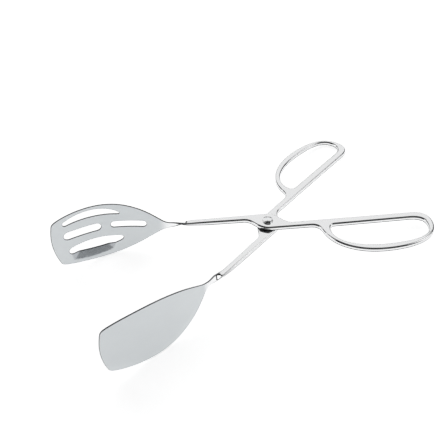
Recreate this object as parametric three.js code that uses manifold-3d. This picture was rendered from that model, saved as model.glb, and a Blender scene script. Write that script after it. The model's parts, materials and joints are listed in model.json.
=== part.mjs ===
// Scissor-action serving tongs in stainless steel sheet. Two mirror-image stampings cross on a
// rivet. Each one has a four-finger loop and an arm pressed as a shallow channel, open below, then
// a neck twisted through a quarter turn, and a broad blade that bows outwards. The upper one's
// blade is slotted for draining, and the lower one's is plain.
// Units are millimetres. +Z is up, and +X runs from the blades to the handles. The tongs lie open
// on a table, on the end of one loop and the lower edges of both blades. The origin is on the
// table, under the middle of the whole.
// Before it is laid down, the model is built with +Z along the rivet towards its domed head, +X
// midway between the handles, and the rims of the lower channel on z = 0.
import * as THREE from "three";
import { mergeVertices } from "three/addons/utils/BufferGeometryUtils.js";
import Module from "manifold-3d";

const wasm = await Module();
wasm.setup();

// Driving dimensions
const SHEET = 1.0; // thickness of the steel sheet
const CHANNEL_DEPTH = 3.2; // height of the pressed channel, web and flanges together
const CORNER = 1.5; // outside radius between web and flange
const LAYER_GAP = 0.3; // running gap between the lower half's web and the upper half's rims
const HALF_OPENING = THREE.MathUtils.degToRad(19.7); // angle of each half from the midline, as opened

const RIVET = { headRadius: 4.1, rimHeight: 1.1, headHeight: 1.9, shankRadius: 2.4 };
const RIVET_TAIL = { radius: 3.6, height: 1.0, chamfer: 0.4 };
const BORE_RADIUS = 2.5; // rivet hole in the webs, the spacer and the washer
const SPACER_RADIUS = 4.2;
const WASHER = { radius: 5.0, thickness: 0.6 };
const FACE_GAP = 0.05; // play between stacked faces on the rivet

const NECK = { start: [-57, 8.7], end: [-82, 9.95], width: 4.8, twistFrom: 0.1, twistTo: 0.9 };
const NECK_FOLD = 1.3; // extra thickness where the sheet is folded on itself, halfway along the neck
const FLANGE_FADE = { from: -46, to: -59 }; // the flanges run out to nothing over this stretch of the arm
const BLADE_ANGLE = THREE.MathUtils.degToRad(6.8); // the blade's chord turns in towards the other blade
const BLADE_LENGTH = 90.4;
const BLADE_HALF = 27.7; // half the blade's width
const DISH = 1.2; // how far the blade's edges curl in towards the other blade
const DISH_START = 25; // the dish comes in over this distance from the root
const BLADE_BOW = [16, 6.8, 44, 15.6]; // control points of the outward bow, along and away from the chord

const SLAB = { width: 60, first: -0.05, last: 1.03 }; // uncut blade, from and to these shares of the bow
const NECK_LAP = 0.5; // the blade starts this far inside the neck

// Places along the rivet's axis
const UPPER_RIM = CHANNEL_DEPTH + LAYER_GAP;
const BLADE_LEVEL = UPPER_RIM + 1.5; // both blades face each other at this height
const WASHER_TOP = CHANNEL_DEPTH - SHEET - FACE_GAP;
const TAIL_TOP = WASHER_TOP - WASHER.thickness - FACE_GAP;
const TAIL_BASE = TAIL_TOP - RIVET_TAIL.height;
const HEAD_BASE = UPPER_RIM + CHANNEL_DEPTH + FACE_GAP;

// How far the handles tip down when the tongs are laid on the table
const REST_PITCH = THREE.MathUtils.degToRad(5.39);

const CURVE_STEPS = 8;
const ROUND_STEPS = 40;
const NECK_STEPS = 16;
const BLADE_STEPS = 24;
const DISH_STEPS = 12;
const DOME_STEPS = 7;
const REACH = 200; // cutting solids run on this far past the steel

const polished = new THREE.MeshStandardMaterial({ color: 0xe6e8e8, roughness: 0.12, metalness: 1 });
const satin = new THREE.MeshStandardMaterial({ color: 0xc9cdcf, roughness: 0.38, metalness: 1 });

// A three.js geometry as a solid that can be cut and joined.
function solid(geometry) {
  const bare = geometry.clone();
  bare.deleteAttribute("normal");
  bare.deleteAttribute("uv");
  const merged = mergeVertices(bare, 1e-4);
  return new wasm.Manifold(
    new wasm.Mesh({
      numProp: 3,
      vertProperties: new Float32Array(merged.attributes.position.array),
      triVerts: new Uint32Array(merged.index.array),
    }),
  );
}

function geometryOf(made) {
  const mesh = made.getMesh();
  const geometry = new THREE.BufferGeometry();
  geometry.setAttribute("position", new THREE.BufferAttribute(mesh.vertProperties, 3));
  geometry.setIndex(new THREE.BufferAttribute(mesh.triVerts, 1));
  return geometry;
}

function prism(shape, low, high) {
  const geometry = new THREE.ExtrudeGeometry(shape, {
    depth: high - low,
    bevelEnabled: false,
    curveSegments: CURVE_STEPS,
  });
  return geometry.translate(0, 0, low);
}

function box(low, high) {
  const size = high.map((value, axis) => value - low[axis]);
  return new THREE.BoxGeometry(...size).translate(...high.map((value, axis) => (value + low[axis]) / 2));
}

// The arm and its finger loop in plan. +X runs to the end of the handle and the loop bulges to -Y.
function handleOutline() {
  const outline = new THREE.Shape();
  outline.moveTo(-61, 6.6);
  outline.lineTo(-19, 3.9);
  outline.bezierCurveTo(-11, 3.2, -11.5, -5.2, -1, -8.4);
  outline.lineTo(33, -10.2);
  outline.bezierCurveTo(38.5, -10.6, 40, -13.5, 41.2, -17.5);
  outline.bezierCurveTo(43.5, -29, 56, -45.3, 87, -45.3);
  outline.bezierCurveTo(112, -45.3, 130, -37, 130, -20.5);
  outline.bezierCurveTo(130, -12.5, 125.5, -8.2, 116, -7.8);
  outline.lineTo(20, -3.8);
  outline.bezierCurveTo(12.5, -3.4, 10.5, 8, 0, 9.3);
  outline.lineTo(-61, 11.4);
  outline.closePath();
  return outline;
}

function fingerHole() {
  const hole = new THREE.Path();
  hole.moveTo(52, -12.1);
  hole.lineTo(113, -14.2);
  hole.bezierCurveTo(121, -14.5, 124.9, -17.5, 124.9, -23);
  hole.bezierCurveTo(124.9, -34.7, 114, -39.4, 88, -39.4);
  hole.bezierCurveTo(62, -39.4, 48.5, -30, 47.6, -19);
  hole.bezierCurveTo(47.3, -14.3, 48.8, -12.2, 52, -12.1);
  return hole;
}

// The pressed channel, open side down, with its web's outer face at z = CHANNEL_DEPTH.
function channel() {
  const outline = handleOutline();
  outline.holes.push(fingerHole());
  const rounded = new THREE.ExtrudeGeometry(outline, {
    depth: 2 * (CHANNEL_DEPTH - CORNER),
    bevelThickness: CORNER,
    bevelSize: CORNER,
    bevelOffset: -CORNER,
    bevelSegments: 2,
    curveSegments: CURVE_STEPS,
  }).translate(0, 0, CORNER - CHANNEL_DEPTH);
  const cavity = new THREE.ExtrudeGeometry(outline, {
    depth: 2 * (CHANNEL_DEPTH - SHEET),
    bevelThickness: 0,
    bevelSize: 0,
    bevelOffset: -SHEET,
    bevelSegments: 1,
    curveSegments: CURVE_STEPS,
  }).translate(0, 0, SHEET - CHANNEL_DEPTH);
  const below = box([-REACH, -REACH, -REACH], [REACH, REACH, 0]);
  const fade = new THREE.Shape();
  fade.moveTo(FLANGE_FADE.from, -1);
  fade.lineTo(FLANGE_FADE.to, CHANNEL_DEPTH - SHEET);
  fade.lineTo(-REACH, CHANNEL_DEPTH - SHEET);
  fade.lineTo(-REACH, -1);
  const fadeCut = prism(fade, -REACH, REACH).rotateX(Math.PI / 2);
  return solid(rounded).subtract(solid(below)).subtract(solid(cavity)).subtract(solid(fadeCut));
}

// The strip between arm and blade: flat at the arm, edge-on at the blade. The web's outer face
// becomes the blade's outer face, and the strip's middle comes to the blade's level.
function twistedNeck(level) {
  const [x0, y0] = NECK.start;
  const [x1, y1] = NECK.end;
  const strip = new THREE.BoxGeometry(1, NECK.width, SHEET, NECK_STEPS, 1, 1);
  const places = strip.attributes.position;
  for (let i = 0; i < places.count; i++) {
    const along = 0.5 - places.getX(i);
    const turned = THREE.MathUtils.smoothstep(along, NECK.twistFrom, NECK.twistTo) * (Math.PI / 2);
    const across = places.getY(i);
    const inner = places.getZ(i) < 0;
    const out = inner ? -SHEET / 2 - NECK_FOLD * Math.sin(along * Math.PI) : SHEET / 2;
    places.setXYZ(
      i,
      THREE.MathUtils.lerp(x0, x1, along),
      THREE.MathUtils.lerp(y0, y1, along) + across * Math.cos(turned) + out * Math.sin(turned),
      THREE.MathUtils.lerp(CHANNEL_DEPTH - SHEET / 2, level, along) -
        across * Math.sin(turned) +
        out * Math.cos(turned),
    );
  }
  return solid(strip);
}

// The blade's outline seen square to its chord: x runs from the neck to the tip and y runs up.
function bladeOutline() {
  const outline = new THREE.Shape();
  outline.moveTo(-2, -2.4);
  outline.lineTo(0, -2.8);
  outline.bezierCurveTo(11, -11, 27, -27.7, 56, -27.7);
  outline.bezierCurveTo(66, -27.7, 76, -26.2, 83, -23.6);
  outline.bezierCurveTo(86, -22.5, 87.6, -21.2, 88, -18.5);
  outline.bezierCurveTo(91.2, -6, 91.2, 6, 88, 18.5);
  outline.bezierCurveTo(87.6, 21.2, 86, 22.5, 83, 23.6);
  outline.bezierCurveTo(76, 26.2, 66, 27.7, 56, 27.7);
  outline.bezierCurveTo(27, 27.7, 11, 11, 0, 2.8);
  outline.lineTo(-2, 2.4);
  outline.closePath();
  return outline;
}

// The four drain slots: two crescents that follow the edges, and two round-ended slots in line.
function drainSlots() {
  const upper = new THREE.Path();
  upper.moveTo(36, 14.4);
  upper.bezierCurveTo(48, 17.4, 64, 18.2, 76.5, 15.8);
  upper.bezierCurveTo(79.5, 15.2, 80.2, 19.4, 77.6, 20);
  upper.bezierCurveTo(64, 26.2, 46, 26.2, 35.2, 16.2);
  upper.bezierCurveTo(34.4, 15.4, 34.6, 14.2, 36, 14.4);
  const lower = new THREE.Path();
  lower.moveTo(36.5, -9.4);
  lower.bezierCurveTo(48, -6, 64, -5.4, 76.5, -8.6);
  lower.bezierCurveTo(80.8, -10.2, 79.8, -15, 75.5, -15.8);
  lower.bezierCurveTo(62, -18.6, 49, -18.8, 37.5, -14.3);
  lower.bezierCurveTo(34, -12.8, 34, -10.1, 36.5, -9.4);
  return [upper, lower, roundEnded([54.4, 4.8], [76.8, 4.6], 3.7), roundEnded([18, 1], [40, 3.7], 3.1)];
}

function roundEnded([x0, y0], [x1, y1], radius) {
  const heading = Math.atan2(y1 - y0, x1 - x0);
  const slot = new THREE.Path();
  slot.absarc(x1, y1, radius, heading - Math.PI / 2, heading + Math.PI / 2, false);
  slot.absarc(x0, y0, radius, heading + Math.PI / 2, heading + (3 * Math.PI) / 2, false);
  slot.closePath();
  return slot;
}

// The blade: a slab that follows the bow in plan and is slightly dished, cut to the outline.
function blade(slotted, level) {
  const outline = bladeOutline();
  if (slotted) outline.holes.push(...drainSlots());
  const bow = new THREE.CubicBezierCurve(
    new THREE.Vector2(0, 0),
    new THREE.Vector2(BLADE_BOW[0], BLADE_BOW[1]),
    new THREE.Vector2(BLADE_BOW[2], BLADE_BOW[3]),
    new THREE.Vector2(BLADE_LENGTH, 0),
  );
  const slab = new THREE.BoxGeometry(1, SLAB.width, SHEET, BLADE_STEPS, DISH_STEPS, 1);
  const places = slab.attributes.position;
  for (let i = 0; i < places.count; i++) {
    const along = THREE.MathUtils.lerp(SLAB.first, SLAB.last, places.getX(i) + 0.5);
    const point = bow.getPoint(along);
    const heading = bow.getPoint(along + 0.001).sub(bow.getPoint(along - 0.001)).normalize();
    const height = places.getY(i);
    const dished = THREE.MathUtils.smoothstep(point.x, 0, DISH_START) * DISH * (height / BLADE_HALF) ** 2;
    const out = places.getZ(i) - dished;
    places.setXYZ(i, out * heading.y - point.x, point.y + out * heading.x, height);
  }
  // The outline's x runs to the tip, along -X, and its y runs up.
  const upright = prism(outline, -REACH, REACH).applyMatrix4(
    new THREE.Matrix4().makeBasis(
      new THREE.Vector3(-1, 0, 0),
      new THREE.Vector3(0, 0, 1),
      new THREE.Vector3(0, 1, 0),
    ),
  );
  const placed = geometryOf(solid(slab).intersect(solid(upright)));
  placed.rotateZ(BLADE_ANGLE);
  return placed.translate(NECK.end[0] + NECK_LAP, NECK.end[1], level);
}

// One whole half, with its web uppermost and its rims on z = 0. The lower half is the upper one's
// mirror image, but for the level of its blade.
function half(slotted, mirrored, level) {
  const bore = new THREE.CylinderGeometry(BORE_RADIUS, BORE_RADIUS, REACH, ROUND_STEPS).rotateX(Math.PI / 2);
  const made = channel().subtract(solid(bore)).add(twistedNeck(level)).add(solid(blade(slotted, level)));
  const facing = new THREE.Matrix4().makeScale(1, mirrored ? -1 : 1, 1);
  return geometryOf(made.transform(facing.elements));
}

function turned(profile) {
  const points = profile.map(([radius, z]) => new THREE.Vector2(radius, z));
  return new THREE.LatheGeometry(points, ROUND_STEPS).rotateX(Math.PI / 2);
}

// A washer or bush: a plain ring from z = low to z = high.
function ring(outer, low, high) {
  return turned([
    [BORE_RADIUS, low],
    [outer, low],
    [outer, high],
    [BORE_RADIUS, high],
    [BORE_RADIUS, low],
  ]);
}

function rivet() {
  const { headRadius, rimHeight, headHeight, shankRadius } = RIVET;
  const { radius, chamfer } = RIVET_TAIL;
  const rise = headHeight - rimHeight;
  const domeRadius = (headRadius ** 2 + rise ** 2) / (2 * rise);
  const domeAngle = Math.asin(headRadius / domeRadius);
  const profile = [
    [0, TAIL_BASE],
    [radius - chamfer, TAIL_BASE],
    [radius, TAIL_BASE + chamfer],
    [radius, TAIL_TOP],
    [shankRadius, TAIL_TOP],
    [shankRadius, HEAD_BASE],
    [headRadius, HEAD_BASE],
  ];
  for (let i = 0; i < DOME_STEPS; i++) {
    const angle = domeAngle * (1 - i / DOME_STEPS);
    profile.push([domeRadius * Math.sin(angle), HEAD_BASE + headHeight - domeRadius * (1 - Math.cos(angle))]);
  }
  profile.push([0, HEAD_BASE + headHeight]);
  return turned(profile);
}

function named(name, geometry, material) {
  const mesh = new THREE.Mesh(geometry, material);
  mesh.name = name;
  return mesh;
}

const tongs = new THREE.Group();

const upper = new THREE.Group();
upper.position.z = UPPER_RIM;
upper.rotation.z = -HALF_OPENING;
upper.add(named("slotted_tong_half", half(true, false, BLADE_LEVEL - UPPER_RIM), satin));

const lower = new THREE.Group();
lower.rotation.z = HALF_OPENING;
lower.add(named("plain_tong_half", half(false, true, BLADE_LEVEL), satin));

tongs.add(
  upper,
  lower,
  named("pivot_rivet", rivet(), polished),
  named(
    "pivot_spacer",
    ring(SPACER_RADIUS, CHANNEL_DEPTH + FACE_GAP, UPPER_RIM + CHANNEL_DEPTH - SHEET - FACE_GAP),
    polished,
  ),
  named("rivet_washer", ring(WASHER.radius, WASHER_TOP - WASHER.thickness, WASHER_TOP), polished),
);

const table = new THREE.Group();
table.add(tongs);
tongs.rotation.y = REST_PITCH;
table.updateMatrixWorld(true);
const bounds = new THREE.Box3().setFromObject(table, true);
const middle = bounds.getCenter(new THREE.Vector3());
tongs.position.set(-middle.x, -middle.y, -bounds.min.z);

export default table;
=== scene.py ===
import json
import math

import bmesh
import bpy
import numpy as np
from mathutils import Matrix, Vector
from mathutils.geometry import delaunay_2d_cdt


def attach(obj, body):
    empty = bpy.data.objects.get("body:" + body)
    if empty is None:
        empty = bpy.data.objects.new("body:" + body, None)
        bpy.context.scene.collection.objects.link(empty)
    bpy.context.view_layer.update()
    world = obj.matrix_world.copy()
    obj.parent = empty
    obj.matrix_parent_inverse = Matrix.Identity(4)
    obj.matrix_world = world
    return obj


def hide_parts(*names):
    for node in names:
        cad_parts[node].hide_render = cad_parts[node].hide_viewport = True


# Scissor-action serving tongs. Shapes are worked out in millimetres in the tongs' own frame, which
# has +Z along the rivet, +X midway between the handles, and the lower channel's rims on z = 0.
# They are then laid down on the table with the frame's hinge, and scaled to metres.
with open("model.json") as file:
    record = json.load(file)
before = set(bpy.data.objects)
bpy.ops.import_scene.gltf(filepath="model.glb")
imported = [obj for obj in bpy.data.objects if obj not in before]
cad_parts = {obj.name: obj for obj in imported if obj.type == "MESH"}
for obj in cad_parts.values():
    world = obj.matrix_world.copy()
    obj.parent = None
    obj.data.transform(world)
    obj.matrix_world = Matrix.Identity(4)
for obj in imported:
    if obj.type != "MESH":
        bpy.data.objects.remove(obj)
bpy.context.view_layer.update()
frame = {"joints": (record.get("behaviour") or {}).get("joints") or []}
HINGE = frame["joints"][0]

MM = 0.001
SHEET = 1.0
CHANNEL_DEPTH = 3.2
CORNER = 1.5
LAYER_GAP = 0.3
HALF_OPENING = math.radians(19.7)
UPPER_RIM = CHANNEL_DEPTH + LAYER_GAP
BLADE_LEVEL = UPPER_RIM + 1.5
FACE_GAP = 0.05

SHANK_RADIUS = 2.4
HEAD_RADIUS = 4.1
HEAD_HEIGHT = 1.9
TAIL_RADIUS = 3.6
TAIL_HEIGHT = 1.0
SPACER_RADIUS = 4.2
WASHER_RADIUS = 5.0
WASHER_THICKNESS = 0.6

NECK_START = -57.0
NECK_END = -82.0
NECK_HALF_WIDTH = 2.4
TWIST_FROM = -59.5
TWIST_TO = -79.5
FLANGE_FADE_FROM = -45.0
FLANGE_FADE_TO = -84.0
BEND_LENGTH = 10.0  # run over which the sheet's cross direction starts to follow the neck
BLADE_ROOT = (-81.5, 9.95)
BLADE_ANGLE = math.radians(6.8)
BLADE_BOW = ((0, 0), (16, 6.8), (44, 15.6), (90.4, 0))
BLADE_HALF = 27.7
DISH = 1.2
DISH_START = 25
BORE_RADIUS = 2.5
SATIN_FROM = -78.0
SATIN_TO = -87.0
LIP_SLOPE = 0.36  # lean of the pressed crescent that leads into the lowest slot
LIP_TOP = 14.0  # the crescent's crease counts only below this height under the chord
TIP_FALL = 0.26  # slope of the blade's middle line past its tip
BURNISH_AND_REFLECTION_DEPTH = 0.3  # lean at which the crescent is fully burnished and fully painted with its dark reflection
SPINE_SPAN = (-176.0, 140.0)  # along the sheet, from past the blade's tip to past the loop's end
SPINE_STEP = 0.5
SPINE_WINDOW = 15  # steps over which the middle line's corners are evened out

EDGE_PITCH = 0.8  # spacing of points along every edge
BLADE_PITCH = 1.8  # spacing of points inside the curved part of the sheet
ARM_PITCH = 5.0  # spacing of points inside the flat webs
LIP_PITCH = 0.9  # spacing of points round the pressed crescent
CREASE_GAP = 0.5  # how far other points keep from a crease
GUARD_GAP = 0.75  # how far points inside the sheet keep from the innermost rings
ROW_STEP = 0.866  # spacing of the rows of a triangular grid, as a share of its pitch
ARC_STEPS = 7  # steps round every bent edge
GUARD = 1.9  # how far in from a flanged edge the rings reach
GRAIN_SCALE = 0.01  # sheet millimetres to coordinates of the grain

# Camera, in the tongs' frame and measured from the upper web's face on the rivet's axis
CAMERA_FROM = Vector((-188.2, -301.2, 328.9))
CAMERA_AT = Vector((-32.7, 13.5, 0.0))
CAMERA_ROLL = math.radians(-1.83)
CAMERA_LENS = 48.2


def smooth(value, low, high):
    """0 at low, 1 at high, and an even ease between them."""
    part = np.clip((value - low) / (high - low), 0, 1)
    return part * part * (3 - 2 * part)


def laid_down():
    """The matrix from the tongs' frame to the row's frame, from the hinge's place and axis."""
    axis = HINGE["axis"]
    roll = Matrix.Rotation(math.atan2(-axis[1], axis[2]), 4, "X")
    pitch = Matrix.Rotation(math.asin(axis[0]), 4, "Y")
    return Matrix.Translation(HINGE["pos_m"]) @ roll @ pitch @ Matrix.Scale(MM, 4)


LAID_DOWN = laid_down()


# ---------------------------------------------------------------- outlines

def bezier(points, steps=48):
    part = np.linspace(0, 1, steps + 1)[:, None]
    rest = 1 - part
    a, b, c, d = (np.array(p, float) for p in points)
    return rest**3 * a + 3 * rest**2 * part * b + 3 * rest * part**2 * c + part**3 * d


def trace(start, steps, pitch=EDGE_PITCH):
    """A closed path of evenly spaced points. A step is an end point, or two handles and an end."""
    path = [np.array([start], float)]
    for step in steps:
        here = path[-1][-1]
        if len(step) == 3:
            path.append(bezier((here, *step))[1:])
        else:
            path.append(np.array([step], float))
    return evenly(np.vstack(path), pitch)


def evenly(path, pitch):
    closed = np.vstack([path, path[:1]])
    run = np.concatenate([[0], np.cumsum(np.linalg.norm(np.diff(closed, axis=0), axis=1))])
    count = max(12, round(run[-1] / pitch))
    at = np.linspace(0, run[-1], count, endpoint=False)
    return np.stack([np.interp(at, run, closed[:, 0]), np.interp(at, run, closed[:, 1])], 1)


def centre_line(along):
    """Across position of the arm's middle line, carried on to the blade's root."""
    return 8.7 - 0.05 * (along - NECK_START)


def on_arm(step):
    """Arm coordinates to sheet coordinates, whose across value is counted from the middle line."""
    if len(step) == 3:
        return tuple(on_arm(point) for point in step)
    return (step[0], step[1] - centre_line(step[0]))


def on_blade(step, side=1):
    """Blade coordinates (from the root, up) to sheet coordinates."""
    if len(step) == 3:
        return tuple(on_blade(point, side) for point in step)
    return (BLADE_ROOT[0] - step[0], -side * step[1])


ARM = [
    (-19, 3.9),
    ((-11, 3.2), (-11.5, -5.2), (-1, -8.4)),
    (33, -10.2),
    ((38.5, -10.6), (40, -13.5), (41.2, -17.5)),
    ((43.5, -29), (56, -45.25), (87, -45.25)),
    ((112, -45.25), (129.95, -37), (129.95, -20.5)),
    ((129.95, -12.5), (125.5, -8.25), (116, -7.85)),
    (20, -3.8),
    ((12.5, -3.4), (10.5, 8), (0, 9.3)),
    (-61, 11.4),
]
# Half of the blade's edge from the neck to the tip's middle, as it runs above the chord
BLADE_EDGE = [
    ((-1, 2.4), (1.6, 4.1), (4.5, 6.4)),
    ((13.5, 13.4), (29, 27.6), (56, 27.6)),
    ((66, 27.6), (76, 26.1), (83, 23.5)),
    ((86, 22.4), (87.5, 21.1), (87.9, 18.5)),
    ((89.5, 12.3), (90.3, 6.1), (90.3, 0)),
]


def reversed_steps(start, steps):
    """The same path walked from its end back to its start."""
    ends = [start] + [step[-1] if len(step) == 3 else step for step in steps]
    back = []
    for i in range(len(steps) - 1, -1, -1):
        step = steps[i]
        back.append((step[1], step[0], ends[i]) if len(step) == 3 else ends[i])
    return back


def half_outline():
    neck_foot = (-5, NECK_HALF_WIDTH)
    steps = [on_arm(step) for step in ARM]
    steps += [((-66, 2.3), (-68, NECK_HALF_WIDTH), (-72, NECK_HALF_WIDTH)), on_blade(neck_foot, -1)]
    steps += [on_blade(step, -1) for step in BLADE_EDGE]
    steps += [on_blade(step) for step in reversed_steps(neck_foot, BLADE_EDGE)]
    steps += [(-72, -NECK_HALF_WIDTH), ((-68, -NECK_HALF_WIDTH), (-66, -2.3), on_arm((-61, 6.6)))]
    return trace(on_arm((-61, 6.6)), steps)


def finger_hole():
    steps = [
        (113, -14.2),
        ((121, -14.5), (124.9, -17.5), (124.9, -23)),
        ((124.9, -34.7), (114, -39.4), (88, -39.4)),
        ((62, -39.4), (48.5, -30), (47.6, -19)),
        ((47.3, -14.3), (48.8, -12.2), (52, -12.1)),
    ]
    return trace(on_arm((52, -12.1)), [on_arm(step) for step in steps])


def bore():
    turns = np.linspace(0, 2 * math.pi, 40, endpoint=False)
    circle = np.stack([BORE_RADIUS * np.cos(turns), BORE_RADIUS * np.sin(turns)], 1)
    return np.array([on_arm(tuple(point)) for point in circle])


def crescent(start, steps):
    return trace(on_blade(start), [on_blade(step) for step in steps])


def round_ended(first, last, radius):
    heading = math.atan2(last[1] - first[1], last[0] - first[0])
    loop = []
    for centre, begin in ((last, heading - math.pi / 2), (first, heading + math.pi / 2)):
        for turn in np.linspace(begin, begin + math.pi, 24):
            loop.append((centre[0] + radius * math.cos(turn), centre[1] + radius * math.sin(turn)))
    return evenly(np.array([on_blade(point) for point in loop]), EDGE_PITCH)


def drain_slots():
    upper = crescent((36, 14.4), [
        ((48, 17.4), (64, 18.2), (76.5, 15.8)),
        ((79.5, 15.2), (80.2, 19.4), (77.6, 20)),
        ((64, 26.2), (46, 26.2), (35.2, 16.2)),
        ((34.4, 15.4), (34.6, 14.2), (36, 14.4)),
    ])
    lower = crescent((36.5, -9.4), [
        ((48, -6), (64, -5.4), (76.5, -8.6)),
        ((80.8, -10.2), (79.8, -15), (75.5, -15.8)),
        ((62, -18.6), (49, -18.8), (37.5, -14.3)),
        ((34, -12.8), (34, -10.1), (36.5, -9.4)),
    ])
    middle = round_ended((54.4, 4.8), (76.8, 4.6), 3.7)
    neck = round_ended((18, 1), (40, 3.7), 3.1)
    return [upper, lower, middle, neck]


def pressed_lip():
    """The crescent below the lowest slot where the sheet leans away. It runs on over the slot."""
    return crescent((42.2, -12), [
        (42.2, -16.4),
        ((42.2, -20.6), (44.5, -21.8), (48, -22.7)),
        ((57, -25), (69, -24.8), (78, -21.4)),
        (78.5, -12),
    ])


# ---------------------------------------------------------------- pressed sheet

def channel_profile():
    """Inset, height and share of torn edge painted dark with shade, for each ring round a flanged edge,
    from the web over the lip.
    """
    lip = 0.3
    shaded_band = 0.8
    blend = 0.12
    rings = [(GUARD, 0)]
    for i in range(ARC_STEPS + 1):
        turn = math.pi / 2 * i / ARC_STEPS
        rings.append((CORNER * (1 - math.sin(turn)), -CORNER * (1 - math.cos(turn))))
    rings += [(0, shaded_band + blend - CHANNEL_DEPTH)]
    sheared_and_shaded = [(0, shaded_band), (0, lip), (0.07, lip / 3), (lip, 0)]
    sheared_and_shaded += [(SHEET - lip, 0), (SHEET - 0.07, lip / 3), (SHEET, lip)]
    inner = [(SHEET, lip + blend - CHANNEL_DEPTH)]
    inner += [(SHEET, -1.5), (1.08, -1.22), (1.25, -1.05), (GUARD, -SHEET)]
    finished = [(inset, height, 0) for inset, height in rings]
    finished += [(inset, height - CHANNEL_DEPTH, 1) for inset, height in sheared_and_shaded]
    return np.array(finished + [(inset, height, 0) for inset, height in inner], float)


def flat_profile(count):
    """The same number of rings round the plain, sheared edge of the flat sheet; the rings at the edge
    carry the painted edge shade.
    """
    rounding = 0.35
    guard = 0.8
    shaded_within = 0.9 * rounding
    rings = [(guard, 0)]
    for i in range(ARC_STEPS + 1):
        turn = math.pi / 2 * i / ARC_STEPS
        rings.append((rounding * (1 - math.sin(turn)), -rounding * (1 - math.cos(turn))))
    left = count - len(rings) - 1
    for i in range(left):
        turn = math.pi / 2 * i / (left - 1)
        rings.append((rounding * (1 - math.cos(turn)), rounding - SHEET - rounding * math.sin(turn)))
    rings.append((guard, -SHEET))
    return np.array([(inset, height, float(inset < shaded_within)) for inset, height in rings])


CHANNEL = channel_profile()
FLAT = flat_profile(len(CHANNEL))


def flange_share(along):
    return smooth(along, FLANGE_FADE_TO, FLANGE_FADE_FROM)


def inward(loop, hole):
    """Unit vectors from an edge into the steel."""
    ahead = np.roll(loop, -1, 0) - np.roll(loop, 1, 0)
    ahead /= np.linalg.norm(ahead, axis=1, keepdims=True)
    left = np.stack([-ahead[:, 1], ahead[:, 0]], 1)
    area = np.sum(loop[:, 0] * np.roll(loop[:, 1], -1) - np.roll(loop[:, 0], -1) * loop[:, 1])
    return left * (1 if (area > 0) != hole else -1)


def inside(points, loop):
    """Even-odd test of many points against one loop."""
    x, y = points[:, 0][:, None], points[:, 1][:, None]
    x0, y0 = loop[:, 0][None], loop[:, 1][None]
    x1, y1 = np.roll(loop[:, 0], -1)[None], np.roll(loop[:, 1], -1)[None]
    spans = (y0 > y) != (y1 > y)
    with np.errstate(divide="ignore", invalid="ignore"):
        cross = (x1 - x0) * (y - y0) / (y1 - y0) + x0
    return (np.sum(spans & (x < cross), axis=1) % 2) == 1


def to_edge(points, loop):
    """Distance from each point to the nearest point of a loop."""
    return np.sqrt(((points[:, None, :] - loop[None]) ** 2).sum(2)).min(1)


def staggered(low, high, pitch):
    """Points of an even triangular grid between two corners."""
    found = []
    for i, row in enumerate(np.arange(low[1], high[1], pitch * ROW_STEP)):
        xs = np.arange(low[0] + (i % 2) * pitch / 2, high[0], pitch)
        found.append(np.stack([xs, np.full(len(xs), row)], 1))
    return np.vstack(found)


def scattered(guards, creases):
    """Staggered points inside the sheet: close together where it is curved, sparse on flat webs."""
    low = np.min(guards[0], axis=0)
    high = np.max(guards[0], axis=0)
    curved = staggered(low, (FLANGE_FADE_FROM, high[1]), BLADE_PITCH)
    points = np.vstack([curved, staggered((FLANGE_FADE_FROM, low[1]), high, ARM_PITCH)])
    for crease in creases:
        near_low = np.min(crease, axis=0) - BLADE_PITCH
        near_high = np.max(crease, axis=0) + BLADE_PITCH
        far = np.any((points < near_low) | (points > near_high), axis=1)
        fine = staggered(near_low, near_high, LIP_PITCH)
        points = np.vstack([points[far], fine[to_edge(fine, crease) > CREASE_GAP], crease])
    keep = inside(points, guards[0])
    for guard in guards[1:]:
        keep &= ~inside(points, guard)
    points = points[keep]
    return points[to_edge(points, np.vstack(guards)) > GUARD_GAP]


def filled(guards, creases):
    """Triangles over the sheet inside its guard rings. The rings' points come first."""
    inner = scattered(guards, creases)
    points = np.vstack(guards + [inner])
    edges = []
    first = 0
    for guard in guards:
        count = len(guard)
        edges += [(first + i, first + (i + 1) % count) for i in range(count)]
        first += count
    made = delaunay_2d_cdt([Vector(p) for p in points], edges, [], 0, 1e-6, True)
    origin = [ids[0] if ids else -1 for ids in made[3]]
    triangles = np.array([[origin[i] for i in face] for face in made[2]])
    triangles = triangles[np.all(triangles >= 0, axis=1)]
    middle = points[triangles].mean(1)
    keep = inside(middle, guards[0])
    for guard in guards[1:]:
        keep &= ~inside(middle, guard)
    return points, triangles[keep]


def spine():
    """Middle line of the neck and blade in plan, and the direction across it, for any place along."""
    along = np.arange(*SPINE_SPAN, SPINE_STEP)
    x = along.copy()
    y = centre_line(along)
    bow = bezier(BLADE_BOW, steps=200)
    out = BLADE_ROOT[0] - along
    on = out > 0
    offset = np.interp(out[on], bow[:, 0], bow[:, 1])
    past = np.clip(out[on] - bow[-1, 0], 0, None)
    offset -= past * TIP_FALL
    x[on] = BLADE_ROOT[0] - out[on] * math.cos(BLADE_ANGLE) - offset * math.sin(BLADE_ANGLE)
    y[on] = BLADE_ROOT[1] - out[on] * math.sin(BLADE_ANGLE) + offset * math.cos(BLADE_ANGLE)
    window = np.hanning(SPINE_WINDOW)
    window /= window.sum()
    reach = len(window) // 2
    for line in (x, y):
        line[reach:-reach] = np.convolve(line, window, "valid")
    step_x = np.gradient(x)
    step_y = np.gradient(y)
    length = np.hypot(step_x, step_y)
    across = np.stack([-step_y / length, step_x / length], 1)
    bent = smooth(along, NECK_START, NECK_START - BEND_LENGTH)[:, None]
    across = across * bent + np.array([0.0, 1.0]) * (1 - bent)
    across /= np.linalg.norm(across, axis=1, keepdims=True)
    return along, x, y, across


SPINE = spine()


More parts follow.
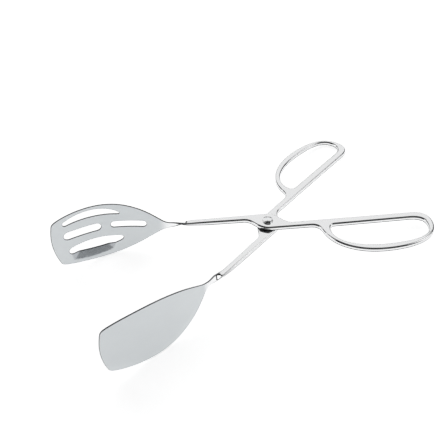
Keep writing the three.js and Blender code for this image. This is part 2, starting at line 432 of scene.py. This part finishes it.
def pressed_depth(flat, lips):
    """How far the sheet leans out of its own surface inside the pressed crescents."""
    depth = np.zeros(len(flat))
    for lip in lips:
        within = inside(flat, lip)
        depth[within] = LIP_SLOPE * to_edge(flat[within], lip[lip[:, 1] > LIP_TOP])
    return depth


def shaped(flat, depth, level, lips):
    """Sheet coordinates and depth below the outer face to the arm's frame, twist and bow included."""
    along, across = flat[:, 0], flat[:, 1]
    table, line_x, line_y, cross = SPINE
    turned = smooth(along, TWIST_FROM, TWIST_TO) * math.pi / 2
    middle = CHANNEL_DEPTH - SHEET / 2
    middle = middle + (level - middle) * smooth(along, NECK_START, NECK_END)
    dished = smooth(BLADE_ROOT[0] - along, 0, DISH_START) * DISH * (across / BLADE_HALF) ** 2
    out = depth + SHEET / 2 - dished + pressed_depth(flat, lips)
    sideways = across * np.cos(turned) + out * np.sin(turned)
    x = np.interp(along, table, line_x) + sideways * np.interp(along, table, cross[:, 0])
    y = np.interp(along, table, line_y) + sideways * np.interp(along, table, cross[:, 1])
    z = middle + out * np.cos(turned) - across * np.sin(turned)
    return np.stack([x, y, z], 1)


def pressed_half(name, holes, lips, level, mirrored, lift, turn):
    """One stamping as a closed skin: two faces of the sheet, joined by rings round every edge."""
    loops = [(half_outline(), False, True), (finger_hole(), True, True), (bore(), True, False)]
    loops += [(slot, True, False) for slot in holes]
    rings = []
    for loop, hole, flanged in loops:
        into = inward(loop, hole)
        share = flange_share(loop[:, 0])[:, None] if flanged else np.zeros((len(loop), 1))
        around = []
        for channel, flat in zip(CHANNEL, FLAT):
            both = flat + (channel - flat) * share
            around.append((loop + into * both[:, :1], both[:, 1], both[:, 2]))
        rings.append(around)
    points, triangles = filled([around[0][0] for around in rings], lips)

    flats = [points, points]
    depths = [np.zeros(len(points)), np.full(len(points), -SHEET)]
    shaded_bands = [np.zeros(2 * len(points))]
    faces = [tuple(t) for t in triangles]
    faces += [tuple(len(points) + i for i in reversed(t)) for t in triangles]
    top_first = 0
    made = 2 * len(points)
    for around in rings:
        count = len(around[0][0])
        starts = [top_first]
        for flat, depth, shaded_band in around[1:-1]:
            flats.append(flat)
            depths.append(depth)
            shaded_bands.append(shaded_band)
            starts.append(made)
            made += count
        starts.append(len(points) + top_first)
        for upper, lower in zip(starts, starts[1:]):
            for i in range(count):
                j = (i + 1) % count
                faces.append((upper + i, upper + j, lower + j, lower + i))
        top_first += count
    flat = np.vstack(flats)
    places = shaped(flat, np.concatenate(depths), level, lips)
    if mirrored:
        places[:, 1] *= -1

    mesh = bpy.data.meshes.new(name)
    mesh.from_pydata(places.tolist(), [], [[int(i) for i in face] for face in faces])
    grain = mesh.uv_layers.new(name="grain")
    corners = np.zeros(len(mesh.loops), np.int32)
    mesh.loops.foreach_get("vertex_index", corners)
    grain.data.foreach_set("uv", (flat[corners] * GRAIN_SCALE).ravel())
    values = {
        "satin": smooth(flat[:, 0], SATIN_FROM, SATIN_TO),
        # This mask also paints shade along the cut edges into the steel's colour.
        "sheared_and_shaded": np.concatenate(shaded_bands),
        # This mask also paints the crescent's dark reflection into the steel's colour.
        "burnish_and_painted_reflection": smooth(pressed_depth(flat, lips), 0.0, BURNISH_AND_REFLECTION_DEPTH),
    }
    for title, value in values.items():
        layer = mesh.attributes.new(title, "FLOAT", "POINT")
        layer.data.foreach_set("value", value.astype(np.float32))
    work = bmesh.new()
    work.from_mesh(mesh)
    bmesh.ops.recalc_face_normals(work, faces=work.faces)
    work.to_mesh(mesh)
    work.free()
    mesh.transform(LAID_DOWN @ Matrix.Translation((0, 0, lift)) @ Matrix.Rotation(turn, 4, "Z"))
    mesh.polygons.foreach_set("use_smooth", np.ones(len(mesh.polygons), bool))
    piece = bpy.data.objects.new(name, mesh)
    bpy.context.scene.collection.objects.link(piece)
    return piece


# ---------------------------------------------------------------- rivet

TURNED_STEPS = 96


def lathe(name, profile):
    """A closed turned piece on the rivet's axis. A profile either closes on itself or ends on the axis."""
    work = bmesh.new()
    closed = profile[0][0] > 0
    rings = []
    for radius, height in profile:
        if radius == 0:
            rings.append([work.verts.new((0, 0, height))])
            continue
        turns = [2 * math.pi * i / TURNED_STEPS for i in range(TURNED_STEPS)]
        rings.append([work.verts.new((radius * math.cos(t), radius * math.sin(t), height)) for t in turns])
    pairs = list(zip(rings, rings[1:]))
    if closed:
        pairs.append((rings[-1], rings[0]))
    for one, two in pairs:
        for i in range(TURNED_STEPS):
            j = (i + 1) % TURNED_STEPS
            corners = [one[i % len(one)], one[j % len(one)], two[j % len(two)], two[i % len(two)]]
            work.faces.new(list(dict.fromkeys(corners)))
    bmesh.ops.recalc_face_normals(work, faces=work.faces)
    mesh = bpy.data.meshes.new(name)
    work.to_mesh(mesh)
    work.free()
    mesh.polygons.foreach_set("use_smooth", np.ones(len(mesh.polygons), bool))
    mesh.set_sharp_from_angle(angle=math.radians(50))
    mesh.transform(LAID_DOWN)
    piece = bpy.data.objects.new(name, mesh)
    bpy.context.scene.collection.objects.link(piece)
    return piece


def rounded(centre, radius, begin, end, steps=5):
    """Points of an arc, in degrees from +X towards +Z."""
    turns = [math.radians(begin + (end - begin) * i / steps) for i in range(steps + 1)]
    return [(centre[0] + radius * math.cos(t), centre[1] + radius * math.sin(t)) for t in turns]


WASHER_TOP = CHANNEL_DEPTH - SHEET - FACE_GAP
WASHER_BASE = WASHER_TOP - WASHER_THICKNESS
TAIL_TOP = WASHER_BASE - FACE_GAP
TAIL_BASE = TAIL_TOP - TAIL_HEIGHT
HEAD_BASE = UPPER_RIM + CHANNEL_DEPTH + FACE_GAP
HEAD_TOP = HEAD_BASE + HEAD_HEIGHT


def rivet_profile():
    """A flat tail with rounded corners, the shank, and a low dome on a short rim."""
    rise = 0.8
    edge = 0.3
    foot = 0.15
    tail_edge = 0.4
    shoulder = 0.2
    tail_flat = 2.9
    dome_radius = HEAD_RADIUS - edge
    dome = (dome_radius**2 + rise**2) / (2 * rise)
    reach = math.degrees(math.asin(dome_radius / dome))
    profile = [(0, TAIL_BASE), (tail_flat, TAIL_BASE)]
    profile += rounded((TAIL_RADIUS - tail_edge, TAIL_BASE + tail_edge), tail_edge, -90, 0)
    profile += rounded((TAIL_RADIUS - shoulder, TAIL_TOP - shoulder), shoulder, 0, 90)
    profile += [(SHANK_RADIUS, TAIL_TOP), (SHANK_RADIUS, HEAD_BASE)]
    profile += rounded((HEAD_RADIUS - foot, HEAD_BASE + foot), foot, -90, 0)
    profile += rounded((dome_radius, HEAD_TOP - rise - edge), edge, 0, 60)
    profile += rounded((0, HEAD_TOP - dome), dome, 90 - reach, 90, 14)[:-1]
    return profile + [(0, HEAD_TOP)]


def ring_profile(inner, outer, low, high):
    """A closed square section with softened corners."""
    edge = 0.12
    profile = rounded((inner + edge, low + edge), edge, 180, 270)
    profile += rounded((outer - edge, low + edge), edge, 270, 360)
    profile += rounded((outer - edge, high - edge), edge, 0, 90)
    profile += rounded((inner + edge, high - edge), edge, 90, 180)
    return profile


# ---------------------------------------------------------------- materials

def shader(name):
    material = bpy.data.materials.new(name)
    material.use_nodes = True
    nodes = material.node_tree.nodes
    nodes.clear()
    output = nodes.new("ShaderNodeOutputMaterial")
    principled = nodes.new("ShaderNodeBsdfPrincipled")
    material.node_tree.links.new(principled.outputs[0], output.inputs[0])
    principled.inputs["Metallic"].default_value = 1.0
    return material, nodes, material.node_tree.links, principled


def noise(nodes, links, vector, scale, detail=4.0, roughness=0.55, stretch=(1, 1, 1)):
    mapping = nodes.new("ShaderNodeMapping")
    mapping.inputs["Scale"].default_value = stretch
    links.new(vector, mapping.inputs["Vector"])
    texture = nodes.new("ShaderNodeTexNoise")
    texture.inputs["Scale"].default_value = scale
    texture.inputs["Detail"].default_value = detail
    texture.inputs["Roughness"].default_value = roughness
    links.new(mapping.outputs[0], texture.inputs["Vector"])
    return texture.outputs["Fac"]


def ranged(nodes, links, value, low, high):
    """Spreads a noise, which mostly lies between 0.3 and 0.7, from low to high."""
    node = nodes.new("ShaderNodeMapRange")
    node.inputs["From Min"].default_value = 0.3
    node.inputs["From Max"].default_value = 0.7
    node.inputs["To Min"].default_value = low
    node.inputs["To Max"].default_value = high
    links.new(value, node.inputs["Value"])
    return node.outputs["Result"]


def mixed(nodes, links, share, one, two):
    node = nodes.new("ShaderNodeMix")
    links.new(share, node.inputs["Factor"])
    links.new(one, node.inputs["A"])
    links.new(two, node.inputs["B"])
    return node.outputs["Result"]


def attribute(nodes, title):
    node = nodes.new("ShaderNodeAttribute")
    node.attribute_name = title
    return node.outputs["Fac"]


def tinted(nodes, links, share, one, two):
    """A colour mix. Either end is a plain colour or the output of an earlier mix."""
    node = nodes.new("ShaderNodeMix")
    node.data_type = "RGBA"
    links.new(share, node.inputs["Factor"])
    for title, colour in (("A", one), ("B", two)):
        if isinstance(colour, tuple):
            node.inputs[title].default_value = (*colour, 1)
        else:
            links.new(colour, node.inputs[title])
    return node.outputs["Result"]


def stamped_steel():
    """Buffed handles with hairline scratches, running out into satin blades with a lengthwise grain."""
    material, nodes, links, principled = shader("stamped_steel")
    satin = attribute(nodes, "satin")
    sheared_and_shaded = attribute(nodes, "sheared_and_shaded")
    burnish_and_painted_reflection = attribute(nodes, "burnish_and_painted_reflection")
    grain = nodes.new("ShaderNodeUVMap")
    grain.uv_map = "grain"
    coordinate = nodes.new("ShaderNodeTexCoord")

    brush = noise(nodes, links, grain.outputs[0], 60.0, 6.0, 0.65, (0.08, 6.0, 1.0))
    cloud = noise(nodes, links, coordinate.outputs["Object"], 22.0, 3.0)
    hairline = noise(nodes, links, grain.outputs[0], 90.0, 5.0, 0.6, (0.15, 3.0, 1.0))
    smudge = noise(nodes, links, coordinate.outputs["Object"], 60.0, 3.0)

    buffed = ranged(nodes, links, smudge, 0.05, 0.11)
    brushed = ranged(nodes, links, brush, 0.34, 0.46)
    rubbed = ranged(nodes, links, brush, 0.20, 0.28)
    torn = ranged(nodes, links, brush, 0.30, 0.45)
    finish = mixed(nodes, links, satin, buffed, brushed)
    finish = mixed(nodes, links, burnish_and_painted_reflection, finish, rubbed)
    links.new(mixed(nodes, links, sheared_and_shaded, finish, torn), principled.inputs["Roughness"])

    blade = tinted(nodes, links, cloud, (0.595, 0.62, 0.635), (0.665, 0.69, 0.70))
    colour = tinted(nodes, links, satin, (0.88, 0.885, 0.89), blade)
    # The pressed crescent is painted dark grey: a painted dark reflection, laid over its real lean and
    # lower roughness.
    colour = tinted(nodes, links, burnish_and_painted_reflection, colour, (0.44, 0.46, 0.48))
    # The torn edge rings are painted near black: painted shade along the cut edges, beside their real
    # rougher finish.
    colour = tinted(nodes, links, sheared_and_shaded, colour, (0.13, 0.135, 0.14))
    links.new(colour, principled.inputs["Base Color"])

    fine = ranged(nodes, links, hairline, 0.0, 0.12)
    coarse = ranged(nodes, links, brush, 0.0, 1.0)
    height = mixed(nodes, links, satin, fine, coarse)
    bump = nodes.new("ShaderNodeBump")
    bump.inputs["Strength"].default_value = 0.12
    bump.inputs["Distance"].default_value = 0.0001
    links.new(height, bump.inputs["Height"])
    links.new(bump.outputs[0], principled.inputs["Normal"])
    return material


def rivet_steel():
    """Bright steel, faintly dented all over by the heading tool."""
    material, nodes, links, principled = shader("rivet_steel")
    coordinate = nodes.new("ShaderNodeTexCoord")
    place = coordinate.outputs["Object"]
    patch = noise(nodes, links, place, 300.0, 4.0)
    links.new(ranged(nodes, links, patch, 0.12, 0.22), principled.inputs["Roughness"])
    steel = tinted(nodes, links, patch, (0.84, 0.85, 0.86), (0.92, 0.925, 0.93))
    links.new(steel, principled.inputs["Base Color"])
    dents = noise(nodes, links, place, 700.0, 3.0)
    bump = nodes.new("ShaderNodeBump")
    bump.inputs["Strength"].default_value = 0.15
    bump.inputs["Distance"].default_value = 0.0001
    links.new(dents, bump.inputs["Height"])
    links.new(bump.outputs[0], principled.inputs["Normal"])
    return material


def table_top():
    material = bpy.data.materials.new("table_top")
    material.use_nodes = True
    principled = material.node_tree.nodes["Principled BSDF"]
    principled.inputs["Base Color"].default_value = (0.9, 0.9, 0.9, 1)
    principled.inputs["Roughness"].default_value = 0.9
    principled.inputs["Emission Color"].default_value = (1, 1, 1, 1)
    principled.inputs["Emission Strength"].default_value = 0.78
    return material


# ---------------------------------------------------------------- the pieces

def finish_piece(piece, node, body, material):
    piece.data.materials.append(material)
    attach(piece, body)
    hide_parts(node)


def build_tongs():
    sheet = stamped_steel()
    bright = rivet_steel()
    level = BLADE_LEVEL - UPPER_RIM
    slots = drain_slots()
    lips = [pressed_lip()]
    slotted = pressed_half("slotted_half_skin", slots, lips, level, False, UPPER_RIM, -HALF_OPENING)
    finish_piece(slotted, "slotted_tong_half", "slotted_half", sheet)
    plain = pressed_half("plain_half_skin", [], [], BLADE_LEVEL, True, 0, HALF_OPENING)
    finish_piece(plain, "plain_tong_half", "plain_half", sheet)
    rivet = lathe("rivet_body", rivet_profile())
    finish_piece(rivet, "pivot_rivet", "plain_half", bright)
    spacer_top = UPPER_RIM + CHANNEL_DEPTH - SHEET - FACE_GAP
    spacer_base = CHANNEL_DEPTH + FACE_GAP
    spacer_profile = ring_profile(BORE_RADIUS, SPACER_RADIUS, spacer_base, spacer_top)
    spacer = lathe("spacer_bush", spacer_profile)
    finish_piece(spacer, "pivot_spacer", "plain_half", bright)
    washer_profile = ring_profile(BORE_RADIUS, WASHER_RADIUS, WASHER_BASE, WASHER_TOP)
    washer = lathe("tail_washer", washer_profile)
    finish_piece(washer, "rivet_washer", "plain_half", bright)


# ---------------------------------------------------------------- studio

def build_table():
    mesh = bpy.data.meshes.new("table")
    reach = 6.0
    gap = 0.0002  # keeps the table from sharing a plane with the blades' lowest edges
    corners = [(-reach, -reach, 0), (reach, -reach, 0), (reach, reach, 0), (-reach, reach, 0)]
    mesh.from_pydata(corners, [], [(0, 1, 2, 3)])
    table = bpy.data.objects.new("table", mesh)
    table.location.z = -gap
    mesh.materials.append(table_top())
    bpy.context.scene.collection.objects.link(table)


def softbox(name, place, size, power):
    light = bpy.data.lights.new(name, "AREA")
    light.shape = "RECTANGLE"
    light.size, light.size_y = size
    light.energy = power
    lamp = bpy.data.objects.new(name, light)
    lamp.location = place
    lamp.rotation_euler = (-Vector(place)).to_track_quat("-Z", "Y").to_euler()
    lamp.visible_camera = False
    bpy.context.scene.collection.objects.link(lamp)


def build_world():
    """White to the eye, and a dim room in everything that the steel reflects."""
    world = bpy.data.worlds.new("studio")
    bpy.context.scene.world = world
    world.use_nodes = True
    nodes = world.node_tree.nodes
    links = world.node_tree.links
    nodes.clear()
    output = nodes.new("ShaderNodeOutputWorld")
    mix = nodes.new("ShaderNodeMixShader")
    path = nodes.new("ShaderNodeLightPath")
    room = nodes.new("ShaderNodeBackground")
    room.inputs["Color"].default_value = (0.012, 0.0125, 0.013, 1)
    white = nodes.new("ShaderNodeBackground")
    white.inputs["Color"].default_value = (1, 1, 1, 1)
    links.new(path.outputs["Is Camera Ray"], mix.inputs[0])
    links.new(room.outputs[0], mix.inputs[1])
    links.new(white.outputs[0], mix.inputs[2])
    links.new(mix.outputs[0], output.inputs[0])


def build_camera():
    lifted = LAID_DOWN @ Matrix.Translation((0, 0, UPPER_RIM + CHANNEL_DEPTH))
    place = lifted @ CAMERA_FROM
    turned = lifted.to_3x3()
    forward = (CAMERA_AT - CAMERA_FROM).normalized()
    level = forward.cross(Vector((0, 0, 1))).normalized()
    upright = level.cross(forward)
    right = level * math.cos(CAMERA_ROLL) + upright * math.sin(CAMERA_ROLL)
    above = right.cross(forward)
    axes = [(turned @ axis).normalized() for axis in (right, above, -forward)]
    matrix = Matrix([(axes[0][i], axes[1][i], axes[2][i], place[i]) for i in range(3)] + [(0, 0, 0, 1)])
    lens = bpy.data.cameras.new("camera")
    lens.lens = CAMERA_LENS
    camera = bpy.data.objects.new("camera", lens)
    camera.matrix_world = matrix
    bpy.context.scene.collection.objects.link(camera)
    bpy.context.scene.camera = camera


def build_studio():
    build_table()
    build_world()
    build_camera()
    softbox("back_softbox", (0.6, 1.35, 1.25), (3.0, 2.0), 16.5)
    softbox("front_softbox", (-0.5, -1.4, 0.9), (2.6, 1.4), 1.2)
    softbox("left_softbox", (-1.7, 0.6, 0.8), (1.2, 1.0), 5)
    softbox("right_softbox", (1.5, -0.8, 1.0), (1.3, 1.3), 6)
    bpy.context.scene.view_settings.view_transform = "Standard"


build_tongs()
build_studio()
